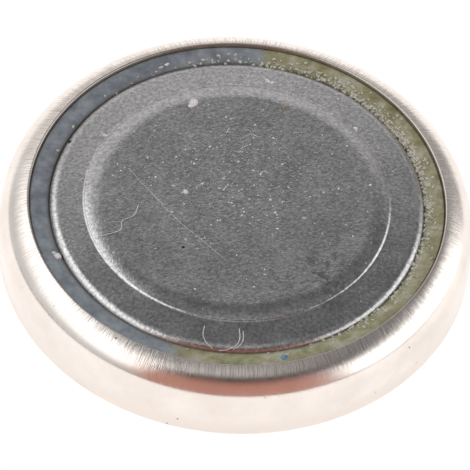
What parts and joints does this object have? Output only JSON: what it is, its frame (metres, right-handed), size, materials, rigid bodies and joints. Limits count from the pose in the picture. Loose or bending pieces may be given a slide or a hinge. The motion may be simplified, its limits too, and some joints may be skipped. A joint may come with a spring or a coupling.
{
  "type": "button cell battery",
  "caption": "Low round button cell: crimped steel can, plastic gasket ring and raised, stepped metal cap.",
  "frame": {"origin": "centre of the can's flat base, the positive contact, which lies on Z = 0", "axes": "+Z along the cell's axis, out through the negative cap; X and Y are free, because the cell is round"},
  "size_m": [0.0116, 0.0116, 0.0021],
  "materials": {
    "can_plating": "nickel plated drawn steel, polished, with fine draw marks at the shoulder",
    "cap_plating": "nickel faced pressed steel, satin",
    "gasket_nylon": "moulded nylon, grey, stained olive on one side",
    "ring_steel": "pressed steel strip, plain",
    "cathode_mix": "pressed powder, matt black",
    "film_cellulose": "thin translucent film, dull",
    "absorbent_felt": "unwoven cellulose fibre, damp",
    "zinc_gel": "zinc powder in a stiff gel, grey",
    "surface_dirt": "loose white flecks, fibres and dried salt on the outside"
  },
  "bodies": {
    "root": {"positive_can": "can_plating", "negative_cap": "cap_plating", "gasket": "gasket_nylon", "cathode_ring": "ring_steel", "cathode_pellet": "cathode_mix", "barrier_film": "film_cellulose", "absorbent_disc": "absorbent_felt", "zinc_anode": "zinc_gel"}
  },
  "joints": []
}
